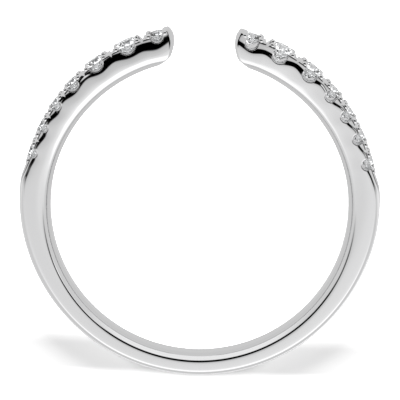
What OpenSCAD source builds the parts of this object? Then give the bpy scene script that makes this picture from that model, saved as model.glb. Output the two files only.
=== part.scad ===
// An open ring of white gold with a row of seven round brilliants on each arm, lying on its side.
// The finger axis is Z through the origin. The gap between the two tips faces +Y.
// Angles run from the middle of the gap, clockwise over the right arm.

/* [Finger hole] */
// Radius of the finger hole at the middle of the band's width
finger_r = 8.67; // [8.2:0.01:9.2]
// Width of the straight stretch of the finger hole
finger_flat_w = 0.8; // [0.6:0.1:1]
// Radius of the comfort edge on each side of the straight stretch
comfort_r = 0.92; // [0.9:0.01:1.2]

/* [Band] */
// Width along the finger, from the second stone round to the bottom
band_w = 2.12; // [2:0.02:2.3]
// Rise of the outer face at mid-width over its edges
outer_dome = 0.04; // [0:0.01:0.08]

/* [Stones] */
// Height of a stone's crown, as a share of its diameter
crown_share = 0.15; // [0.12:0.01:0.17]
// Thickness of a stone's girdle, as a share of its diameter
girdle_share = 0.03; // [0.02:0.01:0.04]
// Depth of a stone's pavilion, as a share of its diameter
pavilion_share = 0.43; // [0.4:0.01:0.45]
// Width of a stone's table, as a share of its diameter
table_share = 0.57; // [0.52:0.01:0.62]
// Clearance between a stone and its seat
seat_gap = 0.02; // [0.01:0.01:0.03]
// Depth of a stone's girdle under the top of the metal
girdle_sink = 0.05; // [0:0.01:0.1]

/* [Setting] */
// Radius of the bead on each prong
bead_r = 0.16; // [0.13:0.01:0.19]
// Turn of a prong from the row's line, seen from the stone's centre
bead_turn = 48; // [42:1:54]
// Distance of a bead's centre outside the stone's edge
bead_out = 0.07; // [0.04:0.01:0.1]
// Width of the notch that splits two prongs
notch_w = 0.24; // [0.2:0.02:0.36]
// Depth of the notch that splits two prongs
notch_depth = 0.2; // [0.14:0.02:0.4]
// Depth of the left arm's ledge under a stone, as a share of the table's figure
left_ledge = 0.95; // [0.8:0.01:1.1]
// Depth of the right arm's ledge under a stone, as a share of the table's figure
right_ledge = 1.08; // [0.8:0.01:1.1]
// Depth of the left arm's windows, as a share of the table's figure
left_window = 0.76; // [0.7:0.01:1]
// Depth of the right arm's windows, as a share of the table's figure
right_window = 1.2; // [1:0.01:1.25]

/* [Tips] */
// Angle from the middle of the gap to the foremost point of each tip
tip_angle = 10; // [9:0.5:11]
// Lean of the tip's inner corner behind its foremost point, in degrees
tip_bow = 2.6; // [1:0.1:3]

/* [Hidden] */
LEFT = -1;
RIGHT = 1;
ANGLE = 0;

// Stones of one arm, from the tip to the shoulder:
// angle, diameter, width of the window under it, depth of that window under the metal's top
DIAMETER = 1;
WINDOW_W = 2;
WINDOW_DEPTH = 3;
STONES = [
    [15.4, 1.15, 0.68, 0.53],
    [25.5, 1.65, 0.92, 0.62],
    [37.1, 1.50, 0.90, 0.55],
    [47.0, 1.25, 0.68, 0.50],
    [55.5, 1.20, 0.64, 0.47],
    [64.0, 1.20, 0.60, 0.45],
    [73.0, 1.20, 0.60, 0.43]
];
stone_count = len(STONES);

// Sections of one half of the ring, from the tip to the bottom:
// angle, wall over the finger radius, width as a share of the band's, depth of the ledge's edge at a
// notch and under a stone, inset of the head's wall behind the band's side, rounding of the head's top
// edge, and the blank's inner surface over the finger radius, which shows only where it is above zero
WALL = 1;
WIDTH = 2;
LEDGE_NOTCH = 3;
LEDGE_STONE = 4;
INSET = 5;
TOP_ROUND = 6;
INNER = 7;
SECTIONS = [
    [tip_angle, 1.66, 0.21, 0.60, 0.62, 0.05, 0.10,  0.42],
    [tip_angle + 0.5, 1.94, 0.42, 0.62, 0.68, 0.07, 0.10,  0.34],
    [tip_angle + 2.2, 1.95, 0.72, 0.64, 0.74, 0.10, 0.09,  0.18],
    [ 15.5, 1.79, 0.90, 0.62, 0.76, 0.14, 0.08, -0.02],
    [ 20.0, 1.77, 0.98, 0.58, 0.74, 0.16, 0.08, -0.32],
    [ 25.5, 1.77, 1.00, 0.50, 0.70, 0.17, 0.08, -0.35],
    [ 37.0, 1.75, 1.00, 0.36, 0.62, 0.20, 0.08, -0.35],
    [ 47.0, 1.71, 1.00, 0.29, 0.50, 0.28, 0.08, -0.35],
    [ 55.5, 1.67, 1.00, 0.27, 0.46, 0.31, 0.08, -0.35],
    [ 64.0, 1.63, 1.00, 0.26, 0.43, 0.31, 0.08, -0.35],
    [ 73.0, 1.61, 1.00, 0.25, 0.40, 0.30, 0.08, -0.35],
    [ 78.0, 1.70, 1.00, 0.28, 0.34, 0.18, 0.12, -0.35],
    [ 82.0, 1.81, 1.00, 0.32, 0.32, 0.10, 0.16, -0.35],
    [ 90.0, 1.77, 1.00, 0.32, 0.32, 0.08, 0.16, -0.35],
    [120.0, 1.50, 1.00, 0.30, 0.30, 0.08, 0.16, -0.35],
    [150.0, 1.32, 1.00, 0.28, 0.28, 0.08, 0.16, -0.35],
    [180.0, 1.25, 1.00, 0.28, 0.28, 0.08, 0.16, -0.35]
];

// Share of the ledge's depth that its bevel takes
bevel_share = 0.6;
// Radius at which the tip reaches furthest into the gap, and how far below it the inner corner lies
bow_r = finger_r + 1.4;
bow_h = 1.13;
// Angle at which the tip's bow has faded out
bow_end = 20;
// Angle where the scallops end, past the last stone
scallop_end = 78.5;
// Least depth of the ledge's edge
ledge_least = 0.2;
// Break in the rounding of the head's top edge: how far inwards and how far down it lies, as shares
round_in = 0.3;
round_down = 0.5;
// First sections of the blank, counted from the tip's foremost point
TIP_STEPS = [0, 0.35, 0.8];
// Steps of the blank along an arm and along the shank, and where one changes to the other
arm_step = 1.45;
shank_step = 5;
shank_start = 82;
// How far a cutter runs past what it cuts
over = 1;
// Main facets round a stone, and corners of its girdle
main_n = 8;
girdle_n = 2 * main_n;
// Radius where a pavilion's main facets meet, as a share of the girdle's
main_share = 0.28;

function stone_name(side, i) = str(side == LEFT ? "left" : "right", "_stone_", i + 1);
ARMS = [LEFT, RIGHT];

// Smooth curve through one column of a table at angle a
function row_below(a, i = 0) =
    (i >= len(SECTIONS) - 2 || a < SECTIONS[i + 1][ANGLE]) ? i : row_below(a, i + 1);
function slope(i, column) =
    (i <= 0 || i >= len(SECTIONS) - 1) ? 0 :
    (SECTIONS[i + 1][column] - SECTIONS[i - 1][column]) / (SECTIONS[i + 1][ANGLE] - SECTIONS[i - 1][ANGLE]);
function hermite(t, y0, m0, y1, m1) =
    (2 * pow(t, 3) - 3 * pow(t, 2) + 1) * y0 + (pow(t, 3) - 2 * pow(t, 2) + t) * m0
    + (3 * pow(t, 2) - 2 * pow(t, 3)) * y1 + (pow(t, 3) - pow(t, 2)) * m1;
function at(a, column) =
    let (i = row_below(a), low = SECTIONS[i], high = SECTIONS[i + 1], span = high[ANGLE] - low[ANGLE])
    hermite((a - low[ANGLE]) / span, low[column], slope(i, column) * span,
        high[column], slope(i + 1, column) * span);

// Angle of the notch between stone i and the next one
function notch_angle(i) = (STONES[i][ANGLE] + STONES[i + 1][ANGLE]) / 2;
// 1 under a stone, 0 at a notch, with smooth waves between
SCALLOP_PHASE = concat(
    [[tip_angle, -0.5]],
    [for (i = [0 : stone_count - 1]) [STONES[i][ANGLE], 2 * i]],
    [for (i = [0 : stone_count - 2]) [notch_angle(i), 2 * i + 1]],
    [[scallop_end, 2 * stone_count - 1]]
);
function scallop(a) = (1 + cos(180 * lookup(a, SCALLOP_PHASE))) / 2;
function ledge_share(side) = side == LEFT ? left_ledge : right_ledge;
function window_share(side) = side == LEFT ? left_window : right_window;
function metal_r(a) = finger_r + at(a, WALL);
function ledge_depth(side, a) =
    let (notch = at(a, LEDGE_NOTCH), stone = at(a, LEDGE_STONE))
    notch + (stone * ledge_share(side) - notch) * scallop(a) * (a < scallop_end ? 1 : 0);

// A point of the blank at radius r and height z, with the tip bowed into the gap
function tip_lean(a, r) =
    tip_bow * pow((r - bow_r) / bow_h, 2) * max(0, (bow_end - a) / (bow_end - tip_angle));
function ring_point(side, a, r, z) =
    let (turn = a + tip_lean(a, r)) [side * r * sin(turn), r * cos(turn), z];

// Half of the blank's section at angle a, as [height, radius] from the inner edge to the outer
function half_section(side, a) =
    let (
        half_w = band_w * min(at(a, WIDTH), 1) / 2,
        top = metal_r(a),
        depth = max(ledge_depth(side, a), ledge_least),
        inset = at(a, INSET),
        round_r = at(a, TOP_ROUND)
    ) [
        [half_w, finger_r + at(a, INNER)],
        [half_w, top - depth],
        [half_w - inset, top - depth * (1 - bevel_share)],
        [half_w - inset - round_in * round_r, top - round_down * round_r],
        [half_w - inset - round_r, top]
    ];
function section(side, a) =
    let (upper = half_section(side, a), n = len(upper))
    concat(
        [for (p = upper) ring_point(side, a, p[1], p[0])],
        [ring_point(side, a, metal_r(a) + outer_dome, 0)],
        [for (i = [n - 1 : -1 : 0]) ring_point(side, a, upper[i][1], -upper[i][0])]
    );

// Stations from the right tip, through the bottom, to the left tip
ARM_STATIONS = [for (a = [tip_angle : arm_step : shank_start - arm_step / 2]) a];
HALF_STATIONS = concat(
    [for (step = TIP_STEPS) tip_angle + step],
    [for (a = ARM_STATIONS) if (a > tip_angle) a],
    [for (a = [shank_start : shank_step : 180 - shank_step / 2]) a]
);
STATIONS = concat(
    [for (a = HALF_STATIONS) [RIGHT, a]],
    [[RIGHT, 180]],
    [for (i = [len(HALF_STATIONS) - 1 : -1 : 0]) [LEFT, HALF_STATIONS[i]]]
);

// The solid metal before anything is cut
module blank() {
    rows = [for (s = STATIONS) section(s[0], s[1])];
    n = len(rows[0]);
    last = len(rows) - 1;
    polyhedron(
        points = [for (row = rows) for (p = row) p],
        faces = concat(
            [[for (j = [n - 1 : -1 : 0]) j]],
            [for (i = [0 : last - 1]) for (j = [0 : n - 1])
                [i * n + j, (i + 1) * n + (j + 1) % n, (i + 1) * n + j]],
            [for (i = [0 : last - 1]) for (j = [0 : n - 1])
                [i * n + j, i * n + (j + 1) % n, (i + 1) * n + (j + 1) % n]],
            [[for (j = [0 : n - 1]) last * n + j]]
        )
    );
}

// Moves its children to angle a and radius r, with their +Z pointing outwards and their Y along the finger
module on_ring(side, a, r) {
    rotate([0, 0, -side * a])
        translate([0, r, 0])
            rotate([-90, 0, 0])
                children();
}

// The round hole for the finger, straight at mid-width and rounded towards both faces
module finger_hole() {
    reach = 2 * over;
    half_flat = finger_flat_w / 2;
    rotate_extrude($fn = 180)
        difference() {
            translate([0, -reach])
                square([finger_r + comfort_r / 2, 2 * reach]);
            translate([finger_r, -half_flat])
                square([comfort_r, finger_flat_w]);
            for (end = [-1, 1])
                translate([finger_r + comfort_r, end * half_flat])
                    circle(r = comfort_r, $fn = 96);
        }
}

// The burred seat of a stone, a little larger than the stone all round
module seat(d) {
    r = d / 2 + seat_gap;
    crown = crown_share * d + seat_gap;
    girdle = girdle_share * d / 2 + seat_gap;
    pavilion = pavilion_share * d + 2 * seat_gap;
    rotate_extrude($fn = 48)
        polygon([
            [0, -girdle - pavilion],
            [r, -girdle],
            [r, girdle],
            [table_share * d / 2 + seat_gap, girdle + crown],
            [table_share * d / 2 + seat_gap, girdle + crown + over],
            [0, girdle + crown + over]
        ]);
}

// The U-shaped window across the head under a stone, open at the top
module window(width, depth) {
    rotate([90, 0, 0])
        translate([0, 0, -2 * over])
            linear_extrude(4 * over) {
                translate([0, width / 2 - depth])
                    circle(r = width / 2, $fn = 32);
                translate([-width / 2, width / 2 - depth])
                    square([width, over]);
            }
}

// The V-shaped notch that splits the prongs between two stones
module notch() {
    rotate([90, 0, 0])
        translate([0, 0, -2 * over])
            linear_extrude(4 * over)
                polygon([
                    [-notch_w, notch_depth],
                    [0, -notch_depth],
                    [notch_w, notch_depth]
                ]);
}

// The beads of the four prongs round a stone
module prong_beads(d) {
    reach = d / 2 + bead_out;
    for (across = [-1, 1])
        for (along = [-1, 1])
            translate([along * reach * cos(bead_turn), across * reach * sin(bead_turn), 0])
                sphere(r = bead_r, $fn = 24);
}

// All the metal: the shank, the arms and their setting in one solid
module band() {
    color([0.84, 0.85, 0.87])
        difference() {
            union() {
                blank();
                for (side = ARMS)
                    for (s = STONES)
                        on_ring(side, s[ANGLE], metal_r(s[ANGLE]))
                            prong_beads(s[DIAMETER]);
            }
            finger_hole();
            for (side = ARMS) {
                for (s = STONES) {
                    on_ring(side, s[ANGLE], metal_r(s[ANGLE]) - girdle_sink)
                        seat(s[DIAMETER]);
                    on_ring(side, s[ANGLE], metal_r(s[ANGLE]))
                        window(s[WINDOW_W], s[WINDOW_DEPTH] * window_share(side));
                }
                for (i = [0 : stone_count - 2])
                    on_ring(side, notch_angle(i), metal_r(notch_angle(i)))
                        notch();
            }
        }
}

// One loop of a stone: n corners at radius r and height z, turned by the given angle
function loop(n, r, z, turn = 0) =
    [for (i = [0 : n - 1]) let (t = turn + 360 * i / n) [r * cos(t), r * sin(t), z]];

// A round brilliant with its girdle at height 0: table, stars, kites, girdle, mains and culet
module brilliant(d) {
    girdle_r = d / 2;
    half_girdle = girdle_share * girdle_r;
    crown = crown_share * d;
    pavilion = pavilion_share * d;
    half_turn = 180 / main_n;
    table_r = table_share * girdle_r;
    star_r = (table_r + girdle_r) / 2;
    star_z = half_girdle + crown * (girdle_r - star_r * cos(half_turn)) / (girdle_r - table_r);
    main_r = main_share * girdle_r;
    main_z = -half_girdle - pavilion * (1 - main_r * cos(half_turn) / girdle_r);
    points = concat(
        loop(main_n, table_r, half_girdle + crown, half_turn),
        loop(main_n, star_r, star_z),
        loop(girdle_n, girdle_r, half_girdle),
        loop(girdle_n, girdle_r, -half_girdle),
        loop(main_n, main_r, main_z),
        [[0, 0, -half_girdle - pavilion]]
    );
    table = 0;
    star = main_n;
    upper = 2 * main_n;
    lower = upper + girdle_n;
    mains = lower + girdle_n;
    culet = mains + main_n;
    // At corner k of eight: the corners before and after it, and its own and neighbouring girdle corners
    facets = [for (k = [0 : main_n - 1])
        let (
            next = (k + 1) % main_n,
            last = (k + main_n - 1) % main_n,
            g = 2 * k,
            g_next = 2 * k + 1,
            g_last = (2 * k + girdle_n - 1) % girdle_n
        )
        each [
            [table + last, table + k, star + k],
            [table + k, star + next, upper + g_next],
            [table + k, upper + g_next, star + k],
            [star + k, upper + g_next, upper + g],
            [star + k, upper + g, upper + g_last],
            [mains + k, lower + g, lower + g_next],
            [mains + k, lower + g_last, lower + g],
            [culet, mains + k, lower + g_next],
            [culet, lower + g_next, mains + next]
        ]
    ];
    girdle = [for (j = [0 : girdle_n - 1])
        let (next = (j + 1) % girdle_n)
        each [[upper + j, upper + next, lower + next], [upper + j, lower + next, lower + j]]
    ];
    polyhedron(
        points = points,
        faces = concat([[for (k = [main_n - 1 : -1 : 0]) table + k]], facets, girdle)
    );
}

// One stone in its seat
module stone(side, i) {
    angle = STONES[i][ANGLE];
    color([0.93, 0.95, 0.97, 0.7])
        on_ring(side, angle, metal_r(angle) - girdle_sink)
            brilliant(STONES[i][DIAMETER]);
}

band();
for (side = ARMS)
    for (i = [0 : stone_count - 1])
        stone(side, i);
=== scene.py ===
"""An open ring of polished white gold, its two arms set with round brilliants, lying on its side."""

import logging
import math
from dataclasses import dataclass, field
from enum import Enum
from itertools import product
from typing import Any

import bmesh
import bpy
from mathutils import Matrix, Vector


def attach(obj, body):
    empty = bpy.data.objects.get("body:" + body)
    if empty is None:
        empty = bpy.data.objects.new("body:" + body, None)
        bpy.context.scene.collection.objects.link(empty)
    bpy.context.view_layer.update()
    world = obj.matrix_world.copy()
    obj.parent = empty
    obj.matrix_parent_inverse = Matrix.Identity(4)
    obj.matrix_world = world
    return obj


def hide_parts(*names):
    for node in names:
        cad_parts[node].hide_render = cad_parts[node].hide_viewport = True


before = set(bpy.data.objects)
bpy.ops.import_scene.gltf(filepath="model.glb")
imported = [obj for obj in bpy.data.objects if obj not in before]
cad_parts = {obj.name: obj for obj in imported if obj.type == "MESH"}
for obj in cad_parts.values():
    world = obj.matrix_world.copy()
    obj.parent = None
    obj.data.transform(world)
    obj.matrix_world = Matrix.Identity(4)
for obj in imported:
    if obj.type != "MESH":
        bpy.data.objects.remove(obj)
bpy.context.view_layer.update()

log = logging.getLogger("ring")
BODY = "root"
# Pieces are modelled in millimetres and brought to metres when they are done
MM = 0.001
ORIGIN = (0.0, 0.0, 0.0)
# How far apart two places still count as one, on a cutter and on a facet of the 1 mm stone
NEAR = 1e-4
FACET_NEAR = 1e-5

Pairs = tuple[tuple[float, float], ...]
Socket = bpy.types.NodeSocket
NodeValue = float | Socket


class Side(Enum):
    """The two arms, as the sign of their place along X."""

    LEFT = -1
    RIGHT = 1


class Slot(Enum):
    """The record's material slots."""

    METAL = "white_gold"
    GEM = "diamond"


def per_side(left: Any, right: Any) -> Any:
    """Makes a dataclass field that holds one value for each arm.

    Args:
        left: The left arm's value.
        right: The right arm's value.

    Returns:
        The field.
    """
    return field(default_factory=lambda: {Side.LEFT: left, Side.RIGHT: right})


def share_in(value: float) -> float:
    """Keeps a share between 0 and 1."""
    return min(1.0, max(0.0, value))


def blend(start: float, end: float, share: float) -> float:
    """Goes from one value to another by a share of the way."""
    return start + (end - start) * share


def between(steps: Pairs, angle: float) -> float:
    """Reads a list of angles and values on straight lines.

    Args:
        steps: Angles and their values, in order.
        angle: An angle up to the last one of the list.

    Returns:
        The value there.
    """
    (a0, v0), (a1, v1) = next(pair for pair in zip(steps, steps[1:]) if angle <= pair[1][0])
    return v0 + (v1 - v0) * (angle - a0) / (a1 - a0)


def only(obj: bpy.types.Object) -> bpy.types.Object:
    """Deselects everything and makes one object selected and active.

    Args:
        obj: The object that the next operators act on.

    Returns:
        The same object.
    """
    bpy.ops.object.select_all(action="DESELECT")
    obj.select_set(True)
    bpy.context.view_layer.objects.active = obj
    return obj


def new_piece(name: str) -> bpy.types.Object:
    """Names the primitive that was just added and puts its place in its mesh.

    Args:
        name: The piece's name.

    Returns:
        The primitive's object, at the origin.
    """
    obj = only(bpy.context.object)
    bpy.ops.object.transform_apply(location=True, rotation=True, scale=True)
    obj.name = name
    obj.data.name = name
    return obj


def use_modifier(obj: bpy.types.Object, kind: str, **settings: object) -> None:
    """Adds a modifier, sets it and applies it.

    Args:
        obj: The object to change.
        kind: Blender's name of the modifier's type.
        settings: Values of the modifier's properties.
    """
    only(obj)
    modifier = obj.modifiers.new(kind, kind)
    for key, value in settings.items():
        setattr(modifier, key, value)
    bpy.ops.object.modifier_apply(modifier=modifier.name)


def copy_of(obj: bpy.types.Object, name: str, place: Matrix) -> bpy.types.Object:
    """Copies a piece with its own mesh and puts the copy in place.

    Args:
        obj: The piece to copy.
        name: The copy's name.
        place: Where the copy goes, applied to its mesh.

    Returns:
        The copy, at the origin.
    """
    twin = obj.copy()
    twin.data = obj.data.copy()
    twin.name = name
    twin.data.name = name
    bpy.context.collection.objects.link(twin)
    twin.data.transform(place)
    return twin


def joined(parts: list[bpy.types.Object], name: str) -> bpy.types.Object:
    """Joins several objects into one.

    Args:
        parts: The objects to join.
        name: The name of what comes out.

    Returns:
        The joined object.
    """
    only(parts[0])
    for part in parts:
        part.select_set(True)
    bpy.ops.object.join()
    return new_piece(name)


def combine(obj: bpy.types.Object, tool: bpy.types.Object, operation: str) -> None:
    """Adds a tool's shape to a piece or cuts it out, and deletes the tool.

    Args:
        obj: The piece to change.
        tool: The shape to add or cut.
        operation: UNION or DIFFERENCE.
    """
    use_modifier(obj, "BOOLEAN", object=tool, operation=operation, solver="MANIFOLD")
    bpy.data.objects.remove(tool)


def select_verts(bm: bmesh.types.BMesh, chosen: list[bmesh.types.BMVert]) -> None:
    """Selects some vertices in edit mode and nothing else.

    Args:
        bm: The edit mesh.
        chosen: The vertices to select.
    """
    for vert in bm.verts:
        vert.select = False
    for vert in chosen:
        vert.select = True
    bm.select_flush_mode()


def finish_piece(obj: bpy.types.Object, material: bpy.types.Material, smooth: float) -> None:
    """Brings a piece to metres, shades it, dresses it and lets it ride.

    Args:
        obj: The piece, modelled in millimetres.
        material: The piece's material.
        smooth: The largest angle that is shaded smooth, in degrees; 0 leaves facets flat.
    """
    only(obj)
    bpy.ops.transform.resize(value=(MM, MM, MM), center_override=ORIGIN)
    bpy.ops.object.transform_apply(location=True, rotation=True, scale=True)
    if smooth:
        bpy.ops.object.shade_smooth_by_angle(angle=math.radians(smooth))
    else:
        bpy.ops.object.shade_flat()
    obj.data.materials.clear()
    obj.data.materials.append(material)
    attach(obj, BODY)
    log.info("%s: %d faces", obj.name, len(obj.data.polygons))


@dataclass(frozen=True)
class StoneSeat:
    """One stone's place in the row, read from the frame. Lengths are in millimetres.

    Attributes:
        node: The stone's name.
        side: Its arm.
        angle: Degrees from the middle of the gap.
        radius: Distance of its girdle from the finger axis.
        diameter: Its diameter.
        window_w: Width of the window under it.
        window_depth: Depth of that window under the metal's top.
    """

    node: str
    side: Side
    angle: float
    radius: float
    diameter: float
    window_w: float
    window_depth: float


@dataclass(frozen=True)
class Cut:
    """Proportions of a round brilliant.

    Attributes:
        crown: Height of the crown as a share of the diameter.
        girdle: Thickness of the girdle as a share of the diameter.
        pavilion: Depth of the pavilion as a share of the diameter.
        table: Width of the table as a share of the diameter.
        star: How far the star facets reach from the table to the girdle.
        lower: How far the lower facets reach from the girdle to the point.
    """

    crown: float = 0.15
    girdle: float = 0.03
    pavilion: float = 0.43
    table: float = 0.57
    star: float = 0.5
    lower: float = 0.77


@dataclass(frozen=True)
class Row:
    """One section of the band. Lengths are in millimetres.

    Attributes:
        angle: Degrees from the middle of the gap.
        wall: Outer radius over the finger radius.
        ledge_notch: Depth of the ledge's edge at a notch.
        ledge_stone: Depth of the ledge's edge under a stone.
        inset: Inset of the head's wall behind the band's side.
        top_round: Rounding of the head's top edge.
        inner: Inner surface over the finger radius, where that is above zero.
    """

    angle: float
    wall: float
    ledge_notch: float
    ledge_stone: float
    inset: float
    top_round: float
    inner: float


@dataclass
class Profile:
    """The band's section, which changes along the ring.

    Lengths are in millimetres, and angles in degrees from the middle of the gap. The head is the
    set metal over the ledge, and the side face is the polished face under it.

    Attributes:
        finger_r: Radius of the finger hole.
        comfort_flat: Half the width of the bore's straight part.
        comfort_r: Rounding of the comfort edges.
        comfort_turn: How far those edges turn before they run on straight.
        bore_shares: Heights of the bore's points, as shares of half the width.
        band_w: Width of the band along the finger.
        bottom: Where the two halves of the ring meet.
        arm_end: Where the arm's shapes have become the plain shank's.
        arm_fade: Over how many degrees they do so.
        outer_dome: Height of the outer face's dome.
        dome_point: The dome's point beside its middle, as shares of the head's width and the dome.
        tip_angle: Where the band begins, at each tip.
        tip_bow: How far a tip's end bows into the gap, in degrees, at bow_h from the bow's middle.
        bow_middle: Height of the bow's middle over the finger radius.
        bow_h: Height over which the bow is given.
        bow_end: Where the bow and the tip's narrowing have faded out.
        dome_end: Where each domed tip ends.
        dome_width: The tip's width there, as a share of the band's.
        dome_fall: How that share falls towards the gap, evenly and with the square.
        widening: Power with which the tip widens behind its dome.
        bevels: Share of the ledge's depth that is bevelled: angles and shares.
        insets: Share of the rows' inset: angles and shares.
        ledge: Depth of each arm's ledge under its stones, over the rows'.
        ledge_least: The least depth of the ledge's edge.
        scallop_end: Middle between an arm's last stone and where a next one would be.
        tip_phase: Where in its wave the ledge starts at the tip, as half waves from the first stone.
        upright: Where a wave is deepest and shallowest, as shares of the way to the next stone.
        slant: The same from stone slanted_from on, where the waves lie a little behind.
        slanted_from: The first of those stones, counted from 0 at the tip.
        face_crown: Drop of the side face at its inner edge.
        shank_crown: Share of that drop along the shank.
        tip_crown: Share of it at each tip.
        crown_whole: Where it is whole again behind the tip.
        face_line: The arm's side face from its inner edge to the ledge: shares of width and drop.
        plain_face: The shank's side face, in the same way.
        edge_round: Rounding of the ledge's two edges; the shank has the left arm's.
        edge_room: Height that the lower of them needs under the head's top, over its rounding.
        rim_round: Rounding of the side face's inner edge.
        rim_in: How far that rounding reaches into the bore, as a share of it.
        top_knee: Distance of the top edge's middle point from its corner, as a share of the rounding.
        girdle_sink: Depth of the stones' girdles under the metal's top.
        window: Depth of each arm's windows, over the list's.
        windows: Width and depth of each window, from the tip.
        rows: The sections, from the tip to the bottom.
        seats: Each arm's stones, from the tip.
    """

    finger_r: float = 8.67
    comfort_flat: float = 0.46
    comfort_r: float = 0.5
    comfort_turn: float = 45.0
    bore_shares: tuple[float, ...] = (0.0, 0.34, 0.50, 0.65, 0.78, 0.88)
    band_w: float = 2.12
    bottom: float = 180.0
    arm_end: float = 115.0
    arm_fade: float = 40.0
    outer_dome: float = 0.04
    dome_point: tuple[float, float] = (0.5, 0.75)
    tip_angle: float = 10.0
    tip_bow: float = 2.6
    bow_middle: float = 1.4
    bow_h: float = 1.13
    bow_end: float = 20.0
    dome_end: dict[Side, float] = per_side(11.4, 10.8)
    dome_width: float = 0.9
    dome_fall: tuple[float, float] = (0.25, 0.44)
    widening: float = 0.7
    bevels: dict[Side, Pairs] = per_side(
        ((0, 0.6), (34, 0.6), (47, 0.42), (58, 0.34), (66, 0.27), (80, 0.27), (94, 0.6), (180, 0.6)),
        ((0, 0.30), (26, 0.31), (31, 0.46), (38, 0.46), (45, 0.22), (80, 0.22), (96, 0.6), (180, 0.6)),
    )
    insets: dict[Side, Pairs] = per_side(
        ((0, 1.0), (58, 0.95), (66, 0.80), (80, 0.80), (92, 1.0), (180, 1.0)),
        ((0, 0.68), (24, 0.68), (31, 0.50), (38, 0.50), (46, 0.45), (80, 0.45), (92, 1.0), (180, 1.0)),
    )
    ledge: dict[Side, float] = per_side(0.95, 1.08)
    ledge_least: float = 0.16
    scallop_end: float = 78.5
    tip_phase: float = -0.5
    upright: tuple[float, float] = (0.0, 0.5)
    slant: tuple[float, float] = (0.14, 0.74)
    slanted_from: int = 3
    face_crown: float = 0.05
    shank_crown: float = 0.12
    tip_crown: dict[Side, float] = per_side(1.0, 0.5)
    crown_whole: float = 32.0
    face_line: dict[Side, Pairs] = per_side(
        ((0.10, 0.27), (0.34, 0.0), (0.72, 0.12), (1.0, 0.5)),
        ((0.24, 0.50), (0.60, 0.10), (0.85, 0.0), (1.0, 0.06)),
    )
    plain_face: Pairs = ((0.16, 0.3), (0.45, 0.0), (0.72, 0.12), (1.0, 0.5))
    edge_round: dict[Side, float] = per_side(0.03, 0.018)
    edge_room: float = 1.2
    rim_round: float = 0.036
    rim_in: float = 0.8
    top_knee: float = 0.3
    girdle_sink: float = 0.05
    window: dict[Side, float] = per_side(0.76, 1.2)
    windows: Pairs = (
        (0.68, 0.53), (0.92, 0.62), (0.90, 0.55), (0.68, 0.50), (0.64, 0.47), (0.60, 0.45), (0.60, 0.43),
    )
    rows: tuple[Row, ...] = (
        Row(10.0, 1.66, 0.60, 0.62, 0.05, 0.10, 0.42),
        Row(10.5, 1.94, 0.62, 0.68, 0.07, 0.10, 0.34),
        Row(12.2, 1.95, 0.64, 0.74, 0.10, 0.09, 0.18),
        Row(15.5, 1.79, 0.62, 0.76, 0.14, 0.08, -0.02),
        Row(20.0, 1.77, 0.58, 0.74, 0.16, 0.08, -0.32),
        Row(25.5, 1.77, 0.50, 0.70, 0.17, 0.08, -0.35),
        Row(37.0, 1.75, 0.36, 0.62, 0.20, 0.08, -0.35),
        Row(47.0, 1.71, 0.24, 0.50, 0.13, 0.08, -0.35),
        Row(55.5, 1.67, 0.18, 0.46, 0.11, 0.08, -0.35),
        Row(64.0, 1.63, 0.16, 0.42, 0.10, 0.08, -0.35),
        Row(73.0, 1.61, 0.16, 0.38, 0.09, 0.08, -0.35),
        Row(78.0, 1.70, 0.28, 0.26, 0.075, 0.08, -0.35),
        Row(82.0, 1.81, 0.25, 0.25, 0.10, 0.06, -0.35),
        Row(90.0, 1.77, 0.24, 0.24, 0.15, 0.05, -0.35),
        Row(120.0, 1.50, 0.24, 0.24, 0.15, 0.05, -0.35),
        Row(150.0, 1.32, 0.22, 0.22, 0.15, 0.05, -0.35),
        Row(180.0, 1.25, 0.22, 0.22, 0.15, 0.05, -0.35),
    )
    seats: dict[Side, list[StoneSeat]] = field(init=False)

    def __post_init__(self) -> None:
        """Reads each stone's place from the frame."""
        self.seats = {side: [self.read_seat(side, i) for i in range(len(self.windows))] for side in Side}

    def read_seat(self, side: Side, index: int) -> StoneSeat:
        """Measures one stone of the frame.

        Args:
            side: Its arm.
            index: Its number, from the tip.

        Returns:
            The stone's place and size.
        """
        node = f"{side.name.lower()}_stone_{index + 1}"
        verts = [v.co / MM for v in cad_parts[node].data.vertices]
        centre = sum(verts, Vector()) / len(verts)
        angle = math.degrees(math.atan2(side.value * centre.x, centre.y))
        diameter = 2 * max(v.z for v in verts)
        width, depth = self.windows[index]
        radius = self.metal_r(angle) - self.girdle_sink
        return StoneSeat(node, side, angle, radius, diameter, width, depth * self.window[side])

    def all_seats(self) -> list[StoneSeat]:
        """The stones of both arms."""
        return [seat for side in Side for seat in self.seats[side]]

    def at(self, angle: float, column: str) -> float:
        """Reads a column of the rows at any angle, on a smooth curve.

        Args:
            angle: Degrees from the middle of the gap.
            column: The name of the column.

        Returns:
            The column's value there.
        """
        low = max(i for i, row in enumerate(self.rows[:-1]) if i == 0 or row.angle <= angle)
        a, b = self.rows[low], self.rows[low + 1]
        span = b.angle - a.angle
        t = (angle - a.angle) / span
        y0, y1 = getattr(a, column), getattr(b, column)
        m0, m1 = self.slope(low, column) * span, self.slope(low + 1, column) * span
        # A cubic curve from row to row, with the slopes at both rows
        return (
            (2 * t**3 - 3 * t**2 + 1) * y0 + (t**3 - 2 * t**2 + t) * m0
            + (3 * t**2 - 2 * t**3) * y1 + (t**3 - t**2) * m1
        )

    def slope(self, i: int, column: str) -> float:
        """Slope of a column's curve at one row.

        Args:
            i: The row's number.
            column: The name of the column.

        Returns:
            The slope, in the column's unit per degree.
        """
        if i in (0, len(self.rows) - 1):
            return 0.0
        a, b = self.rows[i - 1], self.rows[i + 1]
        return (getattr(b, column) - getattr(a, column)) / (b.angle - a.angle)

    def metal_r(self, angle: float) -> float:
        """Radius of the metal's top at an angle, in millimetres."""
        return self.finger_r + self.at(angle, "wall")

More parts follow.
